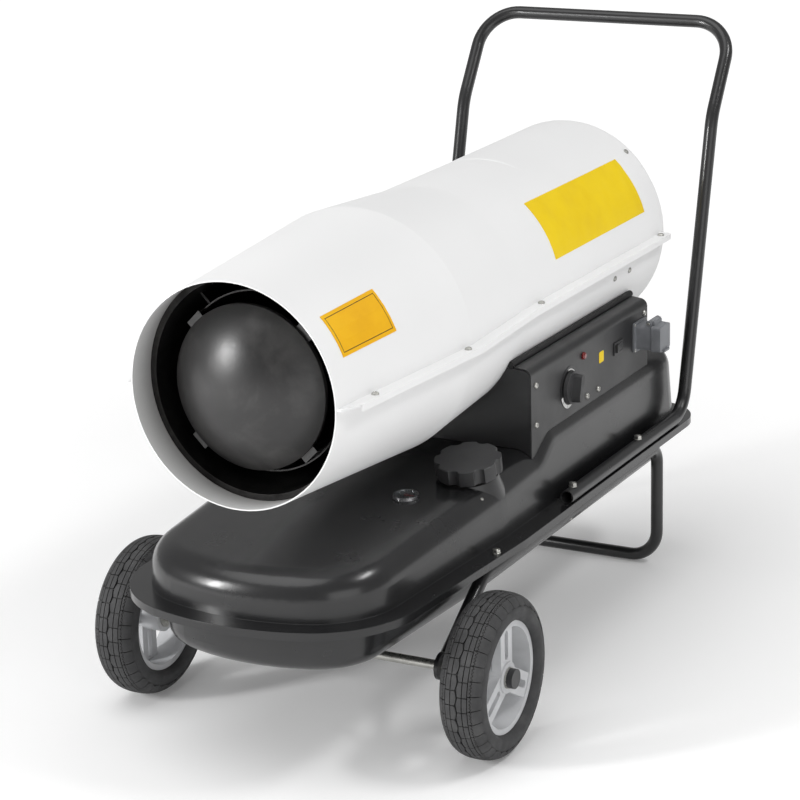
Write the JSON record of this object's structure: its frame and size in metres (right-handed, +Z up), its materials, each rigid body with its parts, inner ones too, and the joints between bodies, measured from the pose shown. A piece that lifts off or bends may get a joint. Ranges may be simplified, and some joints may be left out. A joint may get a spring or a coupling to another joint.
{
  "type": "forced air heater",
  "caption": "Oil-fired forced air heater with a two-piece barrel over a pressed fuel tank, control panel, wheels, rear leg loop and push handle.",
  "frame": {"origin": "on the floor, centre of the bounding box", "axes": "+Z up, outlet of the barrel faces -Y, push handle at +Y, control panel on +X"},
  "size_m": [0.535, 1.1209, 0.742],
  "materials": {
    "shell_white": "gloss enamel",
    "tank_black": "satin, fine texture",
    "box_black": "satin powder coat",
    "tube_black": "gloss powder coat",
    "tyre_rubber": "matt",
    "rim_grey": "moulded, slight sheen",
    "zinc": "bright zinc plate",
    "cap_black": "moulded",
    "dark_steel": "heat darkened",
    "sheet_steel": "rolled sheet",
    "rubber_black": "matt",
    "socket_grey": "moulded, fine grain",
    "brass": "machined",
    "cast_aluminium": "cast and turned",
    "fan_metal": "pressed",
    "neck_steel": "plated",
    "filter_white": "mesh sleeve",
    "dial_silver": "printed film",
    "lamp_red": "translucent",
    "pointer_red": "moulded",
    "lens_clear": "clear",
    "board_green": "resin board",
    "switch_black": "moulded",
    "porcelain": "glazed",
    "label_film": "satin film"
  },
  "bodies": {
    "chassis": {"air_line": "rubber_black", "axle": "zinc", "baffle_dome": "dark_steel", "burner_head": "dark_steel", "chamber_brackets": "dark_steel", "combustion_chamber": "dark_steel", "control_board": "board_green", "control_cover": "box_black", "cover_screws": "zinc", "dial_plate": "dial_silver", "drain_plug": "zinc", "edge_strips": "rubber_black", "filler_neck": "neck_steel", "filler_strainer": "neck_steel", "flame_sensor": "switch_black", "frame_tube": "tube_black", "fuel_filter": "filter_white", "fuel_line": "rubber_black", "fuel_nozzle": "brass", "fuel_pickup": "neck_steel", "gauge_body": "cap_black", "gauge_lens": "lens_clear", "handle_bolts": "zinc", "handle_tube": "tube_black", "heat_shield": "sheet_steel", "ignition_electrodes": "porcelain", "ignition_transformer": "switch_black", "indicator_lamp": "lamp_red", "lid_pin": "zinc", "lower_shell": "shell_white", "motor": "cast_aluminium", "motor_bracket": "sheet_steel", "pump_body": "cast_aluminium", "pump_cover": "cast_aluminium", "rear_grille": "sheet_steel", "shell_screws": "zinc", "socket_housing": "socket_grey", "support_cradle": "box_black", "switch_frame": "cap_black", "tank_lower": "tank_black", "tank_upper": "tank_black", "thermostat_body": "switch_black", "upper_shell": "shell_white", "wheel_caps": "cap_black", "wheel_washers": "zinc"},
    "wheel_left": {"rim_left": "rim_grey", "tyre_left": "tyre_rubber"},
    "wheel_right": {"rim_right": "rim_grey", "tyre_right": "tyre_rubber"},
    "rotor": {"fan": "fan_metal", "rotor_shaft": "cast_aluminium"},
    "knob": {"thermostat_knob": "cap_black"},
    "rocker": {"power_rocker": "cap_black"},
    "lid": {"socket_lid": "socket_grey"},
    "seal": {"cap_seal": "rubber_black"},
    "cap": {"fuel_cap": "cap_black"},
    "pointer": {"gauge_pointer": "pointer_red"}
  },
  "joints": [
    {"name": "wheel_left_spin", "type": "hinge", "parent": "chassis", "child": "wheel_left", "pos_m": [-0.2375, -0.34, 0.1], "axis": [1, 0, 0], "continuous": true},
    {"name": "wheel_right_spin", "type": "hinge", "parent": "chassis", "child": "wheel_right", "pos_m": [0.2375, -0.34, 0.1], "axis": [1, 0, 0], "continuous": true},
    {"name": "rotor_spin", "type": "hinge", "parent": "chassis", "child": "rotor", "pos_m": [0, 0.17, 0.46], "axis": [0, 1, 0], "continuous": true},
    {"name": "knob_turn", "type": "hinge", "parent": "chassis", "child": "knob", "pos_m": [0.162, 0.051, 0.3355], "axis": [1, 0, 0], "range_deg": [-150, 120]},
    {"name": "rocker_tip", "type": "hinge", "parent": "chassis", "child": "rocker", "pos_m": [0.16, 0.209, 0.348], "axis": [0, 0, -1], "range_deg": [0, 16]},
    {"name": "lid_swing", "type": "hinge", "parent": "chassis", "child": "lid", "pos_m": [0.183, 0.282, 0.3675], "axis": [0, -1, 0], "range_deg": [0, 100], "stiffness_Nm_per_rad": 0.01, "springref_deg": -20.05},
    {"name": "cap_lift", "type": "slide", "parent": "chassis", "child": "seal", "axis": [0, -0.1736, 0.9848], "range_m": [0, 0.006]},
    {"name": "cap_turn", "type": "hinge", "parent": "seal", "child": "cap", "pos_m": [0.127, -0.171, 0.282], "axis": [0, -0.1736, 0.9848], "range_deg": [0, 540]},
    {"name": "needle_turn", "type": "hinge", "parent": "chassis", "child": "pointer", "pos_m": [0.084, -0.257, 0.27347], "axis": [0, -0.055, 0.9985], "range_deg": [0, 90]}
  ],
  "couplings": [
    {"joint": "cap_lift", "follows": "cap_turn", "m_per_rad": 0.000636}
  ]
}
